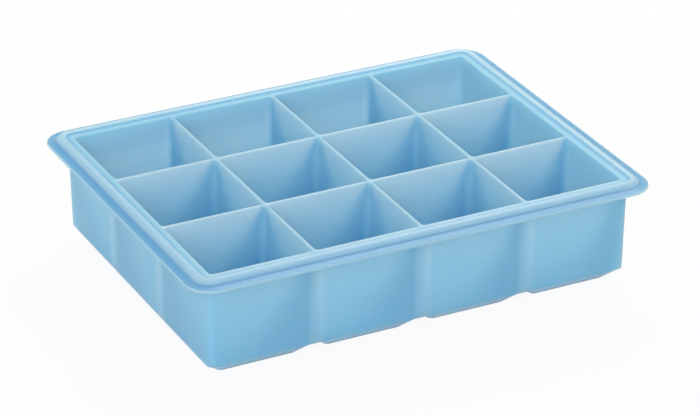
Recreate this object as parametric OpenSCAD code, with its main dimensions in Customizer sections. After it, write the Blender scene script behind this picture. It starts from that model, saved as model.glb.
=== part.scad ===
// Ice cube tray, moulded in one piece from soft translucent silicone.
// Square cells lie in a grid, under a flat flange with a raised bead all round.
// Every cell stands on a low bevelled foot, with channels between the feet.
// The frame's origin is the middle of the footprint, on the surface it stands on, +Z up.

/* [Cells] */

// Number of cells along the tray
columns = 4; // [2:1:6]

// Number of cells across the tray
rows = 3; // [1:1:5]

// Distance from one cell's middle to the next
cell_pitch = 36; // [30:0.5:50]

// Height of the flat tops of the dividers above the base
cell_top = 35.2; // [28:0.1:45]

// Thickness of the divider between two cells at its top
divider_top = 1.2; // [0.8:0.1:2.4]

// How much the cell's sides come in from top to floor, on each side
cell_draft = 1; // [0:0.1:2]

// Thickness of the floor under each cell
floor_thickness = 2.2; // [1.5:0.1:4]

// Radius of a cell's upright corners at its top
corner_top = 1.2; // [0.5:0.1:3]

// Radius of a cell's upright corners at the foot of its sides
corner_foot = 3; // [2:0.1:6]

// Radius of the corners of a cell's flat floor
corner_floor = 1.5; // [1:0.1:4]

// Radius of the rounds above and below the bevel that leads to the floor
floor_round = 2; // [1:0.1:3]

// Height of the small bevel round the mouth of a cell
mouth_bevel = 0.25; // [0.1:0.05:0.4]

/* [Outer walls] */

// Thickness of the outer wall at its top
wall_top = 1.8; // [1.4:0.1:3]

// How much the outer wall comes in from top to bottom, on each side
wall_draft = 0.2; // [0:0.1:1]

// Radius of the tray's upright corners at the bottom
wall_corner_bottom = 2.4; // [1.5:0.1:6]

/* [Rim] */

// How far the flange stands out from the outer wall
flange_overhang = 6.8; // [5:0.1:10]

// Thickness of the flange
flange_thickness = 1.1; // [0.9:0.1:2]

// How far the flange's root lies below the divider tops
flange_drop = 0.5; // [0.1:0.1:0.8]

// How much lower the flange's outer edge lies than its root
flange_fall = 0.6; // [0:0.1:1]

// Radius of the flange's corners, seen from above
flange_corner = 8.5; // [8:0.5:12]

// Radius of the hollow between the flange and the outer wall
flange_root = 0.8; // [0.4:0.1:1.2]

// Radius of the raised bead's cross-section
bead_radius = 1.9; // [1.2:0.1:2.2]

// Height of the bead above the divider tops
bead_height = 0.6; // [0.3:0.1:0.9]

// Distance from the outer wall's face to the middle of the bead
bead_offset = 1.95; // [1.6:0.05:2.4]

/* [Feet] */

// How far the bevel round a foot reaches in under the cell
bevel_reach = 4.8; // [2:0.1:7]

// Height of the bevel, and so of the channels between the feet
bevel_height = 4.4; // [2:0.1:7]

// Radius of a foot's corners where it leaves the body, seen from above
foot_corner_root = 3; // [1.5:0.1:6]

// Radius of the corners of a foot's flat bottom, seen from above
foot_corner_flat = 1.7; // [1:0.1:4]

// Radius between the bevel and the flat bottom
foot_round = 1; // [0.5:0.1:2]

/* [Hidden] */

// Straight pieces that make up each quarter round of a corner
corner_steps = 5;
// Straight pieces that make up the round at each edge of a bevel
edge_steps = 2;
// Step back of the feet from the faces of the body above them
foot_inset = 0.1;
// Height by which two joined shapes run into each other
overlap = 1;

body_length = columns * cell_pitch;
body_width = rows * cell_pitch;
wall_corner_top = flange_corner - flange_overhang;

flange_top = cell_top - flange_drop;
edge_radius = flange_thickness / 2;
bead_middle = cell_top + bead_height - bead_radius;

// The bevel inside a cell runs parallel to the one outside, a floor's thickness away
bevel_length = norm([bevel_reach, bevel_height]);
floor_edge_in = bevel_reach + floor_thickness * (bevel_length - bevel_reach) / bevel_height;
side_foot_in = divider_top / 2 + cell_draft;
side_foot = bevel_height
    + (floor_thickness * bevel_length - bevel_height * side_foot_in) / bevel_reach;

silicone_blue = [0.58, 0.74, 0.86];

// Closed loop of points round a rectangle with round corners, anticlockwise from above
function ring(low, high, radius, z) = [
    for (corner = [0:3], step = [0:corner_steps])
        let (
            angle = 90 * (corner + step / corner_steps),
            x = (corner == 0 || corner == 3) ? high[0] - radius : low[0] + radius,
            y = (corner < 2) ? high[1] - radius : low[1] + radius
        )
        [x + radius * cos(angle), y + radius * sin(angle), z]
];

// The same loop with every side moved in by a distance
function inset_ring(low, high, inset, radius, z) =
    ring([low[0] + inset, low[1] + inset], [high[0] - inset, high[1] - inset], radius, z);

// Solid skinned over a stack of loops, listed from the lowest to the highest
module skin(rings) {
    count = len(rings[0]);
    levels = len(rings);
    points = [for (loop = rings, point = loop) point];
    sides = [
        for (level = [0:levels - 2], i = [0:count - 1])
            let (
                a = level * count + i,
                b = level * count + (i + 1) % count
            )
            each [[a, a + count, b + count], [a, b + count, b]]
    ];
    bottom = [[for (i = [0:count - 1]) i]];
    top = [[for (i = [0:count - 1]) levels * count - 1 - i]];
    polyhedron(points = points, faces = concat(bottom, sides, top));
}

// Points of the round that takes the place of corner b on the path a, b, c
function round_corner(a, b, c, radius) =
    let (
        back = (a - b) / norm(a - b),
        ahead = (c - b) / norm(c - b),
        half = acos(back * ahead) / 2,
        start = b + back * radius / tan(half),
        end = b + ahead * radius / tan(half),
        middle = b + (back + ahead) / norm(back + ahead) * radius / sin(half)
    )
    [
        for (step = [0:edge_steps])
            let (aim = (start - middle) * (edge_steps - step) + (end - middle) * step)
            middle + radius * aim / norm(aim)
    ];

// Value part of the way from one height's value to another's
function between(z, low_z, high_z, low_value, high_value) =
    low_value + (high_value - low_value) * (z - low_z) / (high_z - low_z);

// Lowest and highest corner of a cell's mouth
function cell_low(column, row) = [
    -body_length / 2 + column * cell_pitch + (column == 0 ? wall_top : divider_top / 2),
    -body_width / 2 + row * cell_pitch + (row == 0 ? wall_top : divider_top / 2)
];
function cell_high(column, row) = [
    -body_length / 2 + (column + 1) * cell_pitch - (column == columns - 1 ? wall_top : divider_top / 2),
    -body_width / 2 + (row + 1) * cell_pitch - (row == rows - 1 ? wall_top : divider_top / 2)
];

// Hollow of one cell, open upward, with a bevel all round its flat floor
module cell_hollow(column, row) {
    low = cell_low(column, row);
    high = cell_high(column, row);
    side_top = cell_top - mouth_bevel;
    floor_middle = [cell_pitch / 2, floor_thickness];
    floor_edge = [floor_edge_in - divider_top / 2, floor_thickness];
    side_edge = [cell_draft, side_foot];
    bevel = concat(
        round_corner(floor_middle, floor_edge, side_edge, floor_round),
        round_corner(floor_edge, side_edge, [0, side_top], floor_round)
    );
    floor_rings = [
        for (place = bevel)
            let (
                radius = place[1] < side_foot
                    ? between(place[1], floor_thickness, side_foot, corner_floor, corner_foot)
                    : between(place[1], side_foot, side_top, corner_foot, corner_top)
            )
            inset_ring(low, high, place[0], radius, place[1])
    ];
    mouth = [
        inset_ring(low, high, 0, corner_top, side_top),
        inset_ring(low, high, -mouth_bevel, corner_top + mouth_bevel, cell_top),
        inset_ring(low, high, -mouth_bevel, corner_top + mouth_bevel, cell_top + overlap)
    ];
    skin(concat(floor_rings, mouth));
}

// Low foot under one cell, with a bevel all round its flat bottom
module foot(column, row) {
    low = [-body_length / 2 + column * cell_pitch, -body_width / 2 + row * cell_pitch];
    high = [low[0] + cell_pitch, low[1] + cell_pitch];
    draft_low = [
        column == 0 ? wall_draft : 0,
        row == 0 ? wall_draft : 0
    ];
    draft_high = [
        column == columns - 1 ? wall_draft : 0,
        row == rows - 1 ? wall_draft : 0
    ];
    foot_low = low + draft_low;
    foot_high = high - draft_high;
    root = [foot_inset, bevel_height];
    flat_edge = [foot_inset + bevel_reach, 0];
    flat_middle = [cell_pitch / 2, 0];
    rings = [
        for (place = concat(round_corner(flat_middle, flat_edge, root, foot_round), [root]))
            let (radius = between(place[1], 0, bevel_height, foot_corner_flat, foot_corner_root))
            inset_ring(foot_low, foot_high, place[0], radius, place[1])
    ];
    top = inset_ring(foot_low, foot_high, foot_inset, foot_corner_root, bevel_height + overlap);
    skin(concat(rings, [top]));
}

// Block of the outer walls, from the channels' roof to the divider tops
module body() {
    low = [-body_length / 2, -body_width / 2];
    skin([
        inset_ring(low, -low, wall_draft, wall_corner_bottom, bevel_height),
        inset_ring(low, -low, 0, wall_corner_top, cell_top - flange_thickness),
        inset_ring(low, -low, 0, wall_corner_top, cell_top)
    ]);
}

// Cross-section of the rim, as distance out from the corner's centre and height
module rim_section() {
    tip = flange_corner - edge_radius;
    wall = wall_corner_top;
    bead = wall + bead_offset;
    tip_top = flange_top - flange_fall;
    underside = tip_top - flange_thickness;
    polygon([
        [0, underside - flange_root],
        [wall, underside - flange_root],
        [wall, underside],
        [tip, underside],
        [tip, tip_top],
        [bead, flange_top],
        [bead, cell_top],
        [0, cell_top]
    ]);
    translate([tip, tip_top - edge_radius])
        circle(r = edge_radius, $fn = 32);
    translate([bead, bead_middle])
        circle(r = bead_radius, $fn = 64);
    difference() {
        translate([wall, underside - flange_root])
            square([flange_root, flange_root]);
        translate([wall + flange_root, underside - flange_root])
            circle(r = flange_root, $fn = 32);
    }
}

// The section cut off where the bead's circle would reach below the flange
module trimmed_section() {
    underside = flange_top - flange_fall - flange_thickness;
    difference() {
        rim_section();
        translate([wall_corner_top + flange_root, 0])
            square([flange_overhang, underside]);
    }
}

// One straight side of the rim, along X, with its outside toward -Y
module rim_side(length) {
    rotate([90, 0, 90])
        linear_extrude(height = length, center = true)
            mirror([1, 0])
                trimmed_section();
}

module rim() {
    half_x = body_length / 2 - wall_corner_top;
    half_y = body_width / 2 - wall_corner_top;
    for (side = [0, 1]) {
        rotate([0, 0, 180 * side]) {
            translate([0, -half_y, 0])
                rim_side(2 * half_x);
            rotate([0, 0, 90])
                translate([0, -half_x, 0])
                    rim_side(2 * half_y);
            translate([half_x, half_y, 0])
                rotate_extrude(angle = 90, $fn = 64)
                    trimmed_section();
            translate([-half_x, half_y, 0])
                rotate([0, 0, 90])
                    rotate_extrude(angle = 90, $fn = 64)
                        trimmed_section();
        }
    }
}

module tray() {
    color(silicone_blue)
        difference() {
            union() {
                body();
                rim();
                for (column = [0:columns - 1], row = [0:rows - 1]) {
                    foot(column, row);
                }
            }
            for (column = [0:columns - 1], row = [0:rows - 1]) {
                cell_hollow(column, row);
            }
        }
}

tray();
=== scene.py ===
"""Ice cube tray of soft silicone: the moulded piece, its finish and a plain studio."""

from math import acos, atan, atan2, cos, hypot, pi, radians, sin, sqrt, tan

import bmesh
import bpy
from bpy.props import FloatProperty, FloatVectorProperty, IntProperty, PointerProperty
from mathutils import Euler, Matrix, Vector


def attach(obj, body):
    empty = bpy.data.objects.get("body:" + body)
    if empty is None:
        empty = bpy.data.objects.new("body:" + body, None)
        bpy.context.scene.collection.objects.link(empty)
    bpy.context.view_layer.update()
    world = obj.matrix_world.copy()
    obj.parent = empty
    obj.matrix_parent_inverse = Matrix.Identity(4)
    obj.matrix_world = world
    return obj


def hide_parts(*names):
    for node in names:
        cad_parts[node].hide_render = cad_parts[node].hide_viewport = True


bl_info = {
    "name": "Ice cube tray",
    "version": (1, 0, 0),
    "blender": (4, 5, 0),
    "location": "3D View > Sidebar > Ice cube tray",
    "description": "Builds a soft silicone ice cube tray and a plain studio for it",
    "category": "Object",
}

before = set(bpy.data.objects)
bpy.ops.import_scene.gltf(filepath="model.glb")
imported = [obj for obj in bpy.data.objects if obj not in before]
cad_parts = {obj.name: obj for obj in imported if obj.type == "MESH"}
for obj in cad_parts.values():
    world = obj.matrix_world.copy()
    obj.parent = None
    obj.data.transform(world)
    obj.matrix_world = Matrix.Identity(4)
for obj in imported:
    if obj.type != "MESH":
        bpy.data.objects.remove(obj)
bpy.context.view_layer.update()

MM = 0.001
BODY = "root"
CAD_NODE = "tray"


# Sizes, finish and studio that a user would change


def length(name, description, default_mm):
    """A size that the user sees in scene units, written here in millimetres."""
    return FloatProperty(
        name=name,
        description=description,
        default=default_mm * MM,
        min=0.0,
        precision=5,
        unit="LENGTH",
    )


def colour(name, description, code):
    """A colour given as the sRGB hex code that a painter would note down."""
    return FloatVectorProperty(
        name=name,
        description=description,
        subtype="COLOR",
        size=4,
        min=0.0,
        max=1.0,
        default=from_hex(code),
    )


def from_hex(code):
    """Linear RGBA for an sRGB hex code, by the curve of the sRGB standard."""

    def linear(value):
        return value / 12.92 if value <= 0.04045 else ((value + 0.055) / 1.055) ** 2.4

    parts = [int(code[i : i + 2], 16) / 255 for i in (1, 3, 5)]
    return (*(linear(part) for part in parts), 1.0)


class TraySizes(bpy.types.PropertyGroup):
    columns: IntProperty(
        name="Columns", description="Cells along the tray", default=4, min=1
    )
    rows: IntProperty(
        name="Rows", description="Cells across the tray", default=3, min=1
    )
    pitch: length("Pitch", "Distance from one cell's middle to the next", 36.0)
    land: length("Divider tops", "Height of the dividers' flat tops", 35.2)
    divider: length("Divider", "Thickness of a divider at its top", 1.2)
    wall: length("Wall", "Thickness of the outer wall at its top", 1.8)
    cell_draft: length("Cell draft", "How far a cell's side comes in by its floor", 1.0)
    mouth_round: length("Mouth round", "Radius of the soft edge of a cell's mouth", 0.4)
    corner_top: length("Corner at mouth", "Upright corner radius at the mouth", 1.2)
    corner_foot: length("Corner at foot", "Upright corner radius where the sides end", 3.0)
    corner_floor: length("Corner of floor", "Corner radius of the flat floor", 1.5)
    floor: length("Floor", "Thickness of a cell's floor", 2.2)
    floor_round: length("Floor rounds", "Radius above and below the floor's bevel", 2.0)
    wall_draft: length("Wall draft", "How far the outer wall comes in by its foot", 0.2)
    wall_corner: length("Wall corner", "Outer wall's corner radius at its foot", 2.4)
    overhang: length("Flange", "How far the flange stands out from the wall", 6.8)
    flange: length("Flange thickness", "Thickness of the flange", 1.1)
    flange_drop: length("Flange drop", "How far the flange's root lies below the land", 0.5)
    flange_fall: length("Flange fall", "How much lower the flange's tip lies", 0.6)
    flange_corner: length("Flange corner", "Flange's corner radius from above", 8.5)
    flange_root: length("Flange root", "Radius of the hollow under the flange", 0.8)
    bead: length("Bead", "Radius of the raised bead's section", 1.9)
    bead_height: length("Bead height", "Height of the bead above the land", 0.6)
    bead_offset: length("Bead offset", "From the wall's face to the bead's middle", 1.95)
    groove: length("Groove", "Radius of the groove between bead and flange", 1.0)
    bevel_reach: length("Bevel reach", "How far the bevel round a foot reaches in", 4.8)
    bevel_height: length("Bevel height", "Height of the bevel and of the channels", 4.4)
    foot_root: length("Foot corner", "Foot's corner radius where it leaves the body", 3.0)
    foot_flat: length("Foot flat corner", "Corner radius of the foot's flat", 1.7)
    foot_round: length("Foot round", "Radius between the bevel and the flat", 1.0)
    foot_inset: length("Foot inset", "Step back of a foot from the wall above", 0.1)


class SiliconeFinish(bpy.types.PropertyGroup):
    tint: colour("Tint", "Colour of the pigmented silicone", "#92ccea")
    cloud: colour("Cloud", "Paler places where the pigment is thinner", "#9cd2ec")
    # Painted glow: a paler colour where walls meet in thick columns, standing in for light that
    # the thick rubber gives off
    column_glow: colour("Dense", "Milkier look where two walls meet in a thick column", "#acdaf0")
    # Painted shade: a deeper colour over the rim, from the land out to the flange's edge,
    # standing in for the shade that falls there
    shaded: colour("Thin", "Deeper look of the thin rim, which holds less light", "#5c9fcc")
    # Painted highlight: a paler colour along the bead's outer flank, standing in for the shine of
    # the front light
    bead: colour("Bead", "Paler look of the bead, the thickest part of the rim", "#a8d0e8")
    depth: length("Light depth", "How far light spreads inside the silicone", 14.0)
    roughness: FloatProperty(
        name="Roughness",
        description="Roughness of the mould's fine matt surface",
        default=0.34,
        min=0.0,
        max=1.0,
        subtype="FACTOR",
    )


class StudioSettings(bpy.types.PropertyGroup):
    paper: colour("Paper", "Colour of the plain floor", "#f2f2f2")
    floor_size: FloatProperty(
        name="Floor size",
        description="Side of the square floor",
        default=6.0,
        min=1.0,
        unit="LENGTH",
    )
    key_colour: colour("Key colour", "Warm white of the key light", "#fff6e8")
    fill_colour: colour("Fill colour", "Cool white of the fill and the room", "#e4f1ff")
    key_light: FloatProperty(
        name="Key light", description="Power of the softbox behind the right end", default=3.9
    )
    front_light: FloatProperty(
        name="Front light", description="Power of the fill at the front left", default=7.4
    )
    sky: FloatProperty(
        name="Room light", description="Even light of the white room", default=0.42
    )


# Loops of points

# Straight pieces in each upright corner's quarter round. Cells, feet and rim share it,
# because their loops meet point on point.
CORNER_STEPS = 10


def round_box(low, high, radii, z, cuts=((), ())):
    """Places of one loop round a box with round corners, anticlockwise from above.

    radii are those of the corners +X+Y, -X+Y, -X-Y and +X-Y. cuts are the X and Y
    values at which the long sides take one more point each.
    """
    places = []
    signs = ((1, 1), (-1, 1), (-1, -1), (1, -1))
    for corner, (sx, sy) in enumerate(signs):
        radius = radii[corner]
        x = high[0] - radius if sx > 0 else low[0] + radius
        y = high[1] - radius if sy > 0 else low[1] + radius
        for step in range(CORNER_STEPS + 1):
            angle = pi / 2 * (corner + step / CORNER_STEPS)
            places.append((x + radius * cos(angle), y + radius * sin(angle), z))
        if corner == 0:
            places += [(cut, high[1], z) for cut in sorted(cuts[0], reverse=True)]
        elif corner == 1:
            places += [(low[0], cut, z) for cut in sorted(cuts[1], reverse=True)]
        elif corner == 2:
            places += [(cut, low[1], z) for cut in sorted(cuts[0])]
        else:
            places += [(high[0], cut, z) for cut in sorted(cuts[1])]
    return places


def grown(low, high, out):
    """Corners of a box whose sides all move outward by a distance."""
    return [low[0] - out, low[1] - out], [high[0] + out, high[1] + out]


def loop_edges(bm, loop):
    """Edges between the neighbours of a closed loop of points."""
    return [bm.edges.get(pair) for pair in zip(loop, loop[1:] + loop[:1])]


def first_loop(bm, places):
    """A circle whose points are moved to the places of the first loop."""
    made = bmesh.ops.create_circle(bm, segments=len(places), radius=1.0)
    for vert, place in zip(made["verts"], places):
        vert.co = place
    return made["verts"]


def next_loop(bm, loop, places):
    """Extrudes a closed loop of points and moves the new loop to its places."""
    made = bmesh.ops.extrude_edge_only(bm, edges=loop_edges(bm, loop))["geom"]
    fresh = {item for item in made if isinstance(item, bmesh.types.BMVert)}
    twins = []
    for vert, place in zip(loop, places):
        twin = next(e.other_vert(vert) for e in vert.link_edges if e.other_vert(vert) in fresh)
        twin.co = place
        twins.append(twin)
    return twins


def stack(bm, levels, capped):
    """Skin over a stack of loops, closed by one flat face after the last if capped."""
    loop = first_loop(bm, levels[0])
    for places in levels[1:]:
        loop = next_loop(bm, loop, places)
    if capped:
        bmesh.ops.contextual_create(bm, geom=loop_edges(bm, loop))


# Lines and rounds of the sections

# Straight pieces in the half circle of the flange's edge, and in the bead's longer arc
TIP_STEPS = 8
BEAD_STEPS = 14
# Straight pieces in the quarter rounds of a cell's mouth and of the hollow under the flange
QUARTER_STEPS = 4
# Straight pieces in the groove, and in each round above or below a bevel
ROUND_STEPS = 5
# Stretches between two loops down a cell's side, and down the outer wall
SIDE_STEPS = 5
WALL_STEPS = 4


def between(z, low_z, high_z, low_value, high_value):
    """Value part of the way from one height's value to another's."""
    return low_value + (high_value - low_value) * (z - low_z) / (high_z - low_z)


def round_corner(a, b, c, radius):
    """Points of the round that takes the place of corner b on the path a, b, c."""
    a, b, c = Vector(a), Vector(b), Vector(c)
    back, ahead = (a - b).normalized(), (c - b).normalized()
    half = back.angle(ahead) / 2
    start = b + back * radius / tan(half)
    end = b + ahead * radius / tan(half)
    middle = b + (back + ahead).normalized() * radius / sin(half)
    first, last = (start - middle).normalized(), (end - middle).normalized()
    shares = [step / ROUND_STEPS for step in range(ROUND_STEPS + 1)]
    return [middle + radius * first.slerp(last, share) for share in shares]


def arc(middle, radius, start, end, steps):
    """Points of an arc in a section. Its angles turn outward from straight up."""
    angles = [start + (end - start) * step / steps for step in range(steps + 1)]
    return [middle + radius * Vector((sin(angle), cos(angle))) for angle in angles]


# Cells and feet


def half_block(sizes):
    """Half the length and half the width of the block of cells, from wall to wall."""
    return sizes.columns * sizes.pitch / 2, sizes.rows * sizes.pitch / 2


def cell_box(sizes, column, row, side):
    """Corners of one cell's share of the grid, less `side` at an outer wall."""
    x = (column - sizes.columns / 2) * sizes.pitch
    y = (row - sizes.rows / 2) * sizes.pitch
    low = [x + (side if column == 0 else 0), y + (side if row == 0 else 0)]
    high = [
        x + sizes.pitch - (side if column == sizes.columns - 1 else 0),
        y + sizes.pitch - (side if row == sizes.rows - 1 else 0),
    ]
    return low, high


def tray_corner_radii(sizes, column, row, radius):
    """The tray's own corner radius where the cell lies at that corner, else none."""
    last_column, last_row = sizes.columns - 1, sizes.rows - 1
    places = ((last_column, last_row), (0, last_row), (0, 0), (last_column, 0))
    return [radius if place == (column, row) else 0.0 for place in places]


def cell_path(sizes):
    """Section of a cell's side from mouth to floor, as distance in and height.

    The bevel runs parallel to the one under the foot, a floor's thickness above it.
    The height at which the side ends and the bevel starts is given as well.
    """
    slant = hypot(sizes.bevel_reach, sizes.bevel_height)
    side_in = sizes.divider / 2 + sizes.cell_draft
    edge_in = sizes.bevel_reach + sizes.floor * (slant - sizes.bevel_reach) / sizes.bevel_height
    rise = (sizes.floor * slant - sizes.bevel_height * side_in) / sizes.bevel_reach
    side_foot = sizes.bevel_height + rise
    mouth = Vector((0.0, sizes.land - sizes.mouth_round))
    side_edge = Vector((sizes.cell_draft, side_foot))
    floor_edge = (edge_in - sizes.divider / 2, sizes.floor)
    floor_middle = (sizes.pitch / 2, sizes.floor)
    path = [mouth.lerp(side_edge, step / SIDE_STEPS) for step in range(SIDE_STEPS)]
    path += round_corner(mouth, side_edge, floor_edge, sizes.floor_round)
    path += round_corner(side_edge, floor_edge, floor_middle, sizes.floor_round)
    return path, side_foot


def cell_levels(sizes, column, row):
    """Loops from the dividers' middle lines, over the mouth and down to the floor."""
    radii = tray_corner_radii(sizes, column, row, sizes.flange_corner - sizes.overhang)
    levels = [round_box(*cell_box(sizes, column, row, 0.0), radii, sizes.land)]
    low, high = cell_box(sizes, column, row, sizes.wall - sizes.divider / 2)
    low, high = grown(low, high, -sizes.divider / 2)

    def level(inset, radius, z):
        levels.append(round_box(*grown(low, high, -inset), [radius] * 4, z))

    for step in range(QUARTER_STEPS):
        angle = pi / 2 * step / QUARTER_STEPS
        back = sizes.mouth_round * (1 - sin(angle))
        level(-back, sizes.corner_top + back, sizes.land - sizes.mouth_round * (1 - cos(angle)))
    path, side_foot = cell_path(sizes)
    mouth_z = path[0].y
    for inset, z in path:
        if z > side_foot:
            radius = between(z, side_foot, mouth_z, sizes.corner_foot, sizes.corner_top)
        else:
            radius = between(z, sizes.floor, side_foot, sizes.corner_floor, sizes.corner_foot)
        level(inset, radius, z)
    return levels


def foot_levels(sizes, column, row):
    """Loops from the channels' middle lines down a bevel to the flat of one foot."""
    radii = tray_corner_radii(sizes, column, row, sizes.wall_corner)
    low, high = cell_box(sizes, column, row, sizes.wall_draft)
    levels = [round_box(low, high, radii, sizes.bevel_height)]
    root = (sizes.foot_inset, sizes.bevel_height)
    flat_edge = (sizes.foot_inset + sizes.bevel_reach, 0.0)
    flat_middle = (sizes.pitch / 2, 0.0)
    for inset, z in [root] + round_corner(root, flat_edge, flat_middle, sizes.foot_round):
        radius = between(z, 0.0, sizes.bevel_height, sizes.foot_flat, sizes.foot_root)
        levels.append(round_box(*grown(low, high, -inset), [radius] * 4, z))
    return levels


# Rim and outer wall


def groove_middle(sizes, bead, slope):
    """Middle of the round that touches both the bead and the flange's falling top.

    It lies on a line that runs the groove's radius above the flange, where that line
    is both radii away from the bead's middle.
    """
    lift = sizes.land - sizes.flange_drop + sizes.groove * hypot(1.0, slope) - bead.y
    reach = sizes.bead + sizes.groove
    steep = 1 + slope**2
    root = sqrt((lift * slope) ** 2 - steep * (lift**2 - reach**2))
    out = (lift * slope + root) / steep
    return bead + Vector((out, lift - slope * out))


def rim_profile(sizes):
    """Places of the rim's section, from the land outward, as distance out and height.

    The land runs into the bead, a groove rounds from the bead into the flange, the
    flange falls to its rounded tip, and a hollow leads from under it to the wall.
    """
    half_flange = sizes.flange / 2
    tip_top = sizes.land - sizes.flange_drop - sizes.flange_fall
    tip = Vector((sizes.overhang - half_flange, tip_top - half_flange))
    hollow = Vector((sizes.flange_root, tip_top - sizes.flange - sizes.flange_root))
    bead = Vector((sizes.bead_offset, sizes.land + sizes.bead_height - sizes.bead))
    slope = sizes.flange_fall / (tip.x - bead.x)
    groove = groove_middle(sizes, bead, slope)
    land_side = -acos((sizes.land - bead.y) / sizes.bead)
    groove_side = atan2(groove.x - bead.x, groove.y - bead.y)
    return [
        Vector((0.0, sizes.land)),
        *arc(bead, sizes.bead, land_side, groove_side, BEAD_STEPS),
        *arc(groove, sizes.groove, groove_side - pi, atan(slope) - pi, ROUND_STEPS)[1:],
        *arc(tip, half_flange, 0.0, pi, TIP_STEPS),
        *arc(hollow, sizes.flange_root, 0.0, -pi / 2, QUARTER_STEPS),
    ]


def rim_levels(sizes):
    """Loops of the rim from the land out round the flange and down the wall."""
    high = half_block(sizes)
    low = (-high[0], -high[1])
    cuts = (
        [sizes.pitch * (i - sizes.columns / 2) for i in range(1, sizes.columns)],
        [sizes.pitch * (i - sizes.rows / 2) for i in range(1, sizes.rows)],
    )
    corner = sizes.flange_corner - sizes.overhang
    levels = []

    def level(out, radius, z):
        levels.append(round_box(*grown(low, high, out), [radius] * 4, z, cuts))

    profile = rim_profile(sizes)
    for out, z in profile:
        level(out, corner + out, z)
    wall_top = profile[-1].y
    for step in range(1, WALL_STEPS + 1):
        down = step / WALL_STEPS
        radius = corner + (sizes.wall_corner - corner) * down
        level(-sizes.wall_draft * down, radius, wall_top + (sizes.bevel_height - wall_top) * down)
    return levels


# The whole tray

# Points that lie closer than this are one point
MERGE_DISTANCE = 0.002 * MM
# An edge that turns further than this stays sharp in the shading
SHARP_ANGLE = radians(38)


def model_tray(sizes):
    """One closed skin: every cell and foot, and the rim that joins them."""
    bm = bmesh.new()
    for column in range(sizes.columns):
        for row in range(sizes.rows):
            stack(bm, cell_levels(sizes, column, row), capped=True)
            stack(bm, foot_levels(sizes, column, row), capped=True)
    stack(bm, rim_levels(sizes), capped=False)
    bmesh.ops.remove_doubles(bm, verts=bm.verts, dist=MERGE_DISTANCE)
    bmesh.ops.recalc_face_normals(bm, faces=bm.faces)
    open_edges = [edge for edge in bm.edges if not edge.is_manifold]
    if open_edges:
        raise RuntimeError("the tray's skin is open at %d edges" % len(open_edges))
    for face in bm.faces:
        face.smooth = True
    for edge in bm.edges:
        edge.smooth = edge.calc_face_angle(0.0) < SHARP_ANGLE
    mesh = bpy.data.meshes.new("moulded_tray")
    bm.to_mesh(mesh)
    bm.free()
    return mesh


# Materials

# Numbers of the sockets that a Mix node uses for colours. Its other sockets share their names.
SHARE, BASE, OVER = 0, 6, 7
MIXED = 2


def add(tree, kind, settings=None, links=None):
    """Adds a node, sets its values and sockets, and links its inputs."""
    node = tree.nodes.new(kind)
    for name, value in (settings or {}).items():
        if isinstance(name, int) or name in node.inputs:
            node.inputs[name].default_value = value
        else:
            setattr(node, name, value)
    for name, source in (links or {}).items():
        tree.links.new(source, node.inputs[name])
    return node


def new_material(name):
    """A material whose node tree is still empty."""
    material = bpy.data.materials.new(name)
    material.use_nodes = True
    material.node_tree.nodes.clear()
    return material, material.node_tree


def eased(span, start=0.0):
    """Settings of a Map Range that eases from 1 to 0 over a span counted from `start`."""
    full, none = span
    limits = {"From Min": start + full, "From Max": start + none, "To Min": 1.0, "To Max": 0.0}
    return {"interpolation_type": "SMOOTHSTEP", **limits}


# Where the painted glow, shade and highlight lie on the silicone. Each pair gives where one is
# full and where it ends.
# Outward from the middle of a thick column, and upward toward the land
COLUMN_WIDTH = (0.8 * MM, 4.0 * MM)
COLUMN_TOP = (-7.0 * MM, -2.0 * MM)
# Shares of the way out to a side wall and to an end wall, added up. The tray's corners have 2.
COLUMN_PLACE = (1.65, 1.9)
# Outward from the outer wall's face, downward from the land, and outward to the flange's edge
RIM_INNER = (2.4 * MM, -1.2 * MM)
RIM_UNDER = (-2.0 * MM, -2.6 * MM)
RIM_OUTER = (-0.6 * MM, -0.1 * MM)
# Painted highlight on the bead: its width to both sides, and how far its middle lies outward of
# the bead's middle, on the flank that faces the front light
HIGHLIGHT_WIDTH = (1.1 * MM, 2.0 * MM)
HIGHLIGHT_SHIFT = 0.4 * MM

# Size of the clouds in the pigment
CLOUD_SIZE = 28 * MM
# The blasted mould's grain is finer than a tenth of a millimetre. It is drawn coarser to show.
GRAIN_SIZE = 0.9 * MM
GRAIN_HEIGHT = 0.05 * MM
GRAIN_STRENGTH = 0.08

# Silicone rubber bends light a little more than water
SILICONE_IOR = 1.41
# The fine grain takes most of the shine
SKIN_SHINE = 0.15
# How far red, green and blue light spread in the rubber, as shares of the light depth
SPREAD = (0.88, 0.72, 0.58)


def rim_place(tree, spot, sizes):
    """Distance outward from the outer wall's face, seen from above, and the height."""
    corner = sizes.flange_corner - sizes.overhang
    half_x, half_y = half_block(sizes)
    # No point of the tray is this high, so heights add nothing to the distance
    far_up = 1.0
    middle_of_round = (half_x - corner, half_y - corner, far_up)
    height = add(tree, "ShaderNodeSeparateXYZ", {}, {"Vector": spot}).outputs["Z"]
    side = add(tree, "ShaderNodeVectorMath", {"operation": "ABSOLUTE"}, {0: spot})
    past = add(
        tree,
        "ShaderNodeVectorMath",
        {"operation": "SUBTRACT", 1: middle_of_round},
        {0: side.outputs["Vector"]},
    )
    kept = add(
        tree, "ShaderNodeVectorMath", {"operation": "MAXIMUM"}, {0: past.outputs["Vector"]}
    )
    span = add(
        tree, "ShaderNodeVectorMath", {"operation": "LENGTH"}, {0: kept.outputs["Vector"]}
    )
    outward = add(
        tree, "ShaderNodeMath", {"operation": "SUBTRACT", 1: corner}, {0: span.outputs["Value"]}
    )
    return outward.outputs["Value"], height


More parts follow.
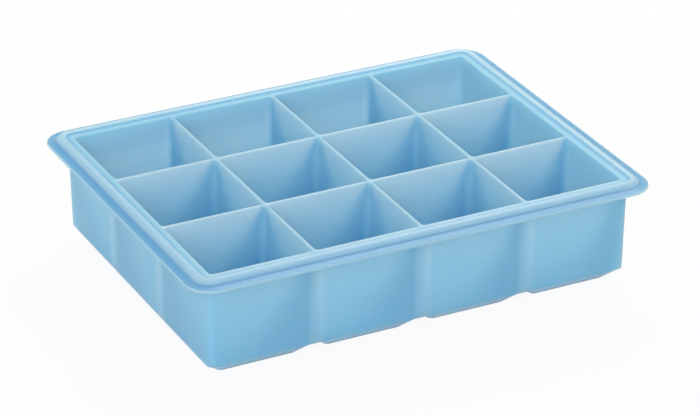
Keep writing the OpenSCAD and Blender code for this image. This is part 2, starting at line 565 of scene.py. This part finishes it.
def column_glow_share(tree, spot, sizes):
    """Share, 0 to 1, of a point where a divider meets a wall or another divider, where the
    painted glow of the thick columns lies.
    """
    place = add(tree, "ShaderNodeSeparateXYZ", {}, {"Vector": spot})
    half_x, half_y = half_block(sizes)
    gaps = []
    for axis, half in (("X", half_x), ("Y", half_y)):
        from_wall = add(
            tree,
            "ShaderNodeMath",
            {"operation": "ADD", 1: half},
            {0: place.outputs[axis]},
        )
        gap = add(
            tree,
            "ShaderNodeMath",
            {"operation": "PINGPONG", 1: sizes.pitch / 2},
            {0: from_wall.outputs["Value"]},
        )
        gaps.append(gap.outputs["Value"])
    wider = add(tree, "ShaderNodeMath", {"operation": "MAXIMUM"}, {0: gaps[0], 1: gaps[1]})
    near = add(
        tree, "ShaderNodeMapRange", eased(COLUMN_WIDTH), {"Value": wider.outputs["Value"]}
    )
    below = add(
        tree, "ShaderNodeMapRange", eased(COLUMN_TOP, sizes.land), {"Value": place.outputs["Z"]}
    )
    side = add(tree, "ShaderNodeVectorMath", {"operation": "ABSOLUTE"}, {0: spot})
    way_out = add(
        tree,
        "ShaderNodeVectorMath",
        {"operation": "DOT_PRODUCT", 1: (1 / half_x, 1 / half_y, 0.0)},
        {0: side.outputs["Vector"]},
    )
    inner = add(
        tree, "ShaderNodeMapRange", eased(COLUMN_PLACE), {"Value": way_out.outputs["Value"]}
    )
    low = add(
        tree,
        "ShaderNodeMath",
        {"operation": "MULTIPLY"},
        {0: near.outputs["Result"], 1: below.outputs["Result"]},
    )
    share = add(
        tree,
        "ShaderNodeMath",
        {"operation": "MULTIPLY"},
        {0: low.outputs["Value"], 1: inner.outputs["Result"]},
    )
    return share.outputs["Value"]


def rim_shade_share(tree, outward, height, sizes):
    """Share, 0 to 1, of a point on the rim, from the land to just short of its edge, where the
    rim is painted in shade.
    """
    spans = (
        (outward, eased(RIM_INNER)),
        (height, eased(RIM_UNDER, sizes.land)),
        (outward, eased(RIM_OUTER, sizes.overhang)),
    )
    past, above, inside = [
        add(tree, "ShaderNodeMapRange", settings, {"Value": value}).outputs["Result"]
        for value, settings in spans
    ]
    part = add(tree, "ShaderNodeMath", {"operation": "MULTIPLY"}, {0: past, 1: above})
    share = add(
        tree,
        "ShaderNodeMath",
        {"operation": "MULTIPLY"},
        {0: part.outputs["Value"], 1: inside},
    )
    return share.outputs["Value"]


def bead_highlight_share(tree, outward, sizes):
    """Share, 0 to 1, of the painted highlight along the raised bead's outer flank."""
    off = add(
        tree,
        "ShaderNodeMath",
        {"operation": "SUBTRACT", 1: sizes.bead_offset + HIGHLIGHT_SHIFT},
        {0: outward},
    )
    away = add(tree, "ShaderNodeMath", {"operation": "ABSOLUTE"}, {0: off.outputs["Value"]})
    share = add(tree, "ShaderNodeMapRange", eased(HIGHLIGHT_WIDTH), {"Value": away.outputs["Value"]})
    return share.outputs["Result"]


def pigment_and_painted_light(tree, spot, look, sizes):
    """Cloudy pigment, with a painted glow where walls meet in thick columns, painted shade over
    the rim and a painted highlight on the bead.
    """
    clouds = add(
        tree,
        "ShaderNodeTexNoise",
        {"Scale": 1 / CLOUD_SIZE, "Detail": 2.0, "Roughness": 0.5},
        {"Vector": spot},
    )
    tint = add(
        tree,
        "ShaderNodeMix",
        {"data_type": "RGBA", BASE: tuple(look.tint), OVER: tuple(look.cloud)},
        {SHARE: clouds.outputs["Fac"]},
    )
    outward, height = rim_place(tree, spot, sizes)
    # Painted glow at the thick columns, painted shade over the rim and a painted highlight on the
    # bead, laid over the pigment
    layers = (
        (look.column_glow, column_glow_share(tree, spot, sizes)),
        (look.shaded, rim_shade_share(tree, outward, height, sizes)),
        (look.bead, bead_highlight_share(tree, outward, sizes)),
    )
    for layer, share in layers:
        tint = add(
            tree,
            "ShaderNodeMix",
            {"data_type": "RGBA", OVER: tuple(layer)},
            {SHARE: share, BASE: tint.outputs[MIXED]},
        )
    return tint.outputs[MIXED]


def moulded_silicone(look, sizes):
    """Pigmented silicone rubber, press-moulded: light sinks in and comes out soft. Its colour
    also carries a painted glow, painted shade and a painted highlight.

    The mould is bead-blasted, so the skin is satin with no sharp reflection.
    """
    material, tree = new_material("moulded_silicone")
    spot = add(tree, "ShaderNodeTexCoord").outputs["Object"]
    grain = add(
        tree,
        "ShaderNodeTexNoise",
        {"Scale": 1 / GRAIN_SIZE, "Detail": 1.0},
        {"Vector": spot},
    )
    skin = add(
        tree,
        "ShaderNodeBump",
        {"Strength": GRAIN_STRENGTH, "Distance": GRAIN_HEIGHT},
        {"Height": grain.outputs["Fac"]},
    )
    rubber = add(
        tree,
        "ShaderNodeBsdfPrincipled",
        {
            "Roughness": look.roughness,
            "IOR": SILICONE_IOR,
            "Specular IOR Level": SKIN_SHINE,
            "Subsurface Weight": 1.0,
            "Subsurface Radius": SPREAD,
            "Subsurface Scale": look.depth,
        },
        {
            "Base Color": pigment_and_painted_light(tree, spot, look, sizes),
            "Normal": skin.outputs["Normal"],
        },
    )
    add(tree, "ShaderNodeOutputMaterial", {}, {"Surface": rubber.outputs["BSDF"]})
    return material


# Share of plain white in the paper as it is seen. The rest is its lit side, with the shadow.
PAPER_WHITE = 0.93


def white_paper(studio):
    """Matt seamless paper. To the eye and in reflections it is white, with a soft shadow."""
    material, tree = new_material("white_paper")
    matt = add(tree, "ShaderNodeBsdfDiffuse", {"Color": tuple(studio.paper)})
    glow = add(tree, "ShaderNodeEmission", {"Color": (1.0, 1.0, 1.0, 1.0), "Strength": 1.0})
    ray = add(tree, "ShaderNodeLightPath")
    mirrored = add(
        tree,
        "ShaderNodeMath",
        {"operation": "MAXIMUM"},
        {0: ray.outputs["Is Glossy Ray"], 1: ray.outputs["Is Transmission Ray"]},
    )
    seen = add(
        tree,
        "ShaderNodeMath",
        {"operation": "MAXIMUM"},
        {0: ray.outputs["Is Camera Ray"], 1: mirrored.outputs["Value"]},
    )
    share = add(
        tree,
        "ShaderNodeMath",
        {"operation": "MULTIPLY", 1: PAPER_WHITE},
        {0: seen.outputs["Value"]},
    )
    both = add(
        tree,
        "ShaderNodeMixShader",
        {},
        {0: share.outputs["Value"], 1: matt.outputs["BSDF"], 2: glow.outputs["Emission"]},
    )
    add(tree, "ShaderNodeOutputMaterial", {}, {"Surface": both.outputs["Shader"]})
    return material


# Studio, in metres from the middle of the tray's footprint

# How far the paper lies under the feet, so that the two don't share a plane
PAPER_GAP = 0.05 * MM
# What the lights point at, near the top of the tray
LIGHT_AIM = (0.0, 0.0, 0.035)
KEY_PLACE = (0.33, 0.47, 0.56)
KEY_SIDE = 0.3
FILL_PLACE = (-0.8, -0.9, 0.7)
FILL_SIDE = 0.8
# Where the camera stood, worked out from the rim and the dividers in the photo
CAMERA_PLACE = (-0.42848, -0.85488, 0.50095)
CAMERA_TILT = radians(63.1836)
CAMERA_TURN = radians(-26.7359)
LENS_MM = 173.67
SENSOR_MM = 36.0
NEAREST, FURTHEST = 0.05, 20.0


def lay_paper(scene, studio):
    """One flat square of paper under the tray."""
    bm = bmesh.new()
    bmesh.ops.create_grid(bm, x_segments=1, y_segments=1, size=studio.floor_size / 2)
    bmesh.ops.translate(bm, verts=bm.verts, vec=(0.0, 0.0, -PAPER_GAP))
    mesh = bpy.data.meshes.new("paper_floor")
    bm.to_mesh(mesh)
    bm.free()
    mesh.materials.append(white_paper(studio))
    paper = bpy.data.objects.new("paper_floor", mesh)
    scene.collection.objects.link(paper)


def hang_softbox(scene, name, place, side, power, tint):
    """A square light that points at the tray."""
    lamp = bpy.data.lights.new(name, "AREA")
    lamp.shape = "SQUARE"
    lamp.size = side
    lamp.energy = power
    lamp.color = tint[:3]
    holder = bpy.data.objects.new(name, lamp)
    holder.location = place
    toward = Vector(LIGHT_AIM) - Vector(place)
    holder.rotation_euler = toward.to_track_quat("-Z", "Y").to_euler()
    scene.collection.objects.link(holder)


def light_room(scene, studio):
    """Even light from all round, as in a white room."""
    world = bpy.data.worlds.new("white_room")
    world.use_nodes = True
    back = world.node_tree.nodes["Background"]
    back.inputs["Color"].default_value = tuple(studio.fill_colour)
    back.inputs["Strength"].default_value = studio.sky
    scene.world = world


def stand_camera(scene):
    """The camera from which the photo was taken."""
    lens = bpy.data.cameras.new("photo_camera")
    lens.lens = LENS_MM
    lens.sensor_width = SENSOR_MM
    lens.clip_start = NEAREST
    lens.clip_end = FURTHEST
    camera = bpy.data.objects.new("photo_camera", lens)
    camera.location = CAMERA_PLACE
    camera.rotation_euler = Euler((CAMERA_TILT, 0.0, CAMERA_TURN))
    scene.collection.objects.link(camera)
    scene.camera = camera


# Operators, panel and registration


class OBJECT_OT_moulded_tray(bpy.types.Operator):
    """Model the tray as one closed skin and give it its silicone"""

    bl_idname = "object.moulded_tray"
    bl_label = "Moulded tray"

    def execute(self, context):
        scene = context.scene
        sizes = scene.tray_sizes
        piece = bpy.data.objects.new("moulded_tray", model_tray(sizes))
        scene.collection.objects.link(piece)
        piece.data.materials.append(moulded_silicone(scene.silicone_finish, sizes))
        even = piece.modifiers.new("even_shading", "WEIGHTED_NORMAL")
        even.keep_sharp = True
        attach(piece, BODY)
        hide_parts(CAD_NODE)
        return {"FINISHED"}


class SCENE_OT_tray_studio(bpy.types.Operator):
    """Set up the paper floor, the lights and the camera"""

    bl_idname = "scene.tray_studio"
    bl_label = "Studio"

    def execute(self, context):
        scene = context.scene
        studio = scene.tray_studio
        warm, cool = studio.key_colour, studio.fill_colour
        lay_paper(scene, studio)
        hang_softbox(scene, "key_softbox", KEY_PLACE, KEY_SIDE, studio.key_light, warm)
        hang_softbox(scene, "front_fill", FILL_PLACE, FILL_SIDE, studio.front_light, cool)
        light_room(scene, studio)
        stand_camera(scene)
        scene.view_settings.view_transform = "Standard"
        return {"FINISHED"}


class VIEW3D_PT_ice_cube_tray(bpy.types.Panel):
    bl_label = "Ice cube tray"
    bl_idname = "VIEW3D_PT_ice_cube_tray"
    bl_space_type = "VIEW_3D"
    bl_region_type = "UI"
    bl_category = "Ice cube tray"

    def draw(self, context):
        layout = self.layout
        for group, operators in (
            (context.scene.tray_sizes, ()),
            (context.scene.silicone_finish, (OBJECT_OT_moulded_tray,)),
            (context.scene.tray_studio, (SCENE_OT_tray_studio,)),
        ):
            column = layout.column(align=True)
            for name in group.__annotations__:
                column.prop(group, name)
            for operator in operators:
                layout.operator(operator.bl_idname)


CLASSES = (
    TraySizes,
    SiliconeFinish,
    StudioSettings,
    OBJECT_OT_moulded_tray,
    SCENE_OT_tray_studio,
    VIEW3D_PT_ice_cube_tray,
)


def register():
    for cls in CLASSES:
        bpy.utils.register_class(cls)
    bpy.types.Scene.tray_sizes = PointerProperty(type=TraySizes)
    bpy.types.Scene.silicone_finish = PointerProperty(type=SiliconeFinish)
    bpy.types.Scene.tray_studio = PointerProperty(type=StudioSettings)


def unregister():
    del bpy.types.Scene.tray_studio
    del bpy.types.Scene.silicone_finish
    del bpy.types.Scene.tray_sizes
    for cls in reversed(CLASSES):
        bpy.utils.unregister_class(cls)


def main():
    register()
    bpy.ops.object.moulded_tray()
    bpy.ops.scene.tray_studio()
    bpy.context.view_layer.update()


if __name__ == "__main__":
    main()
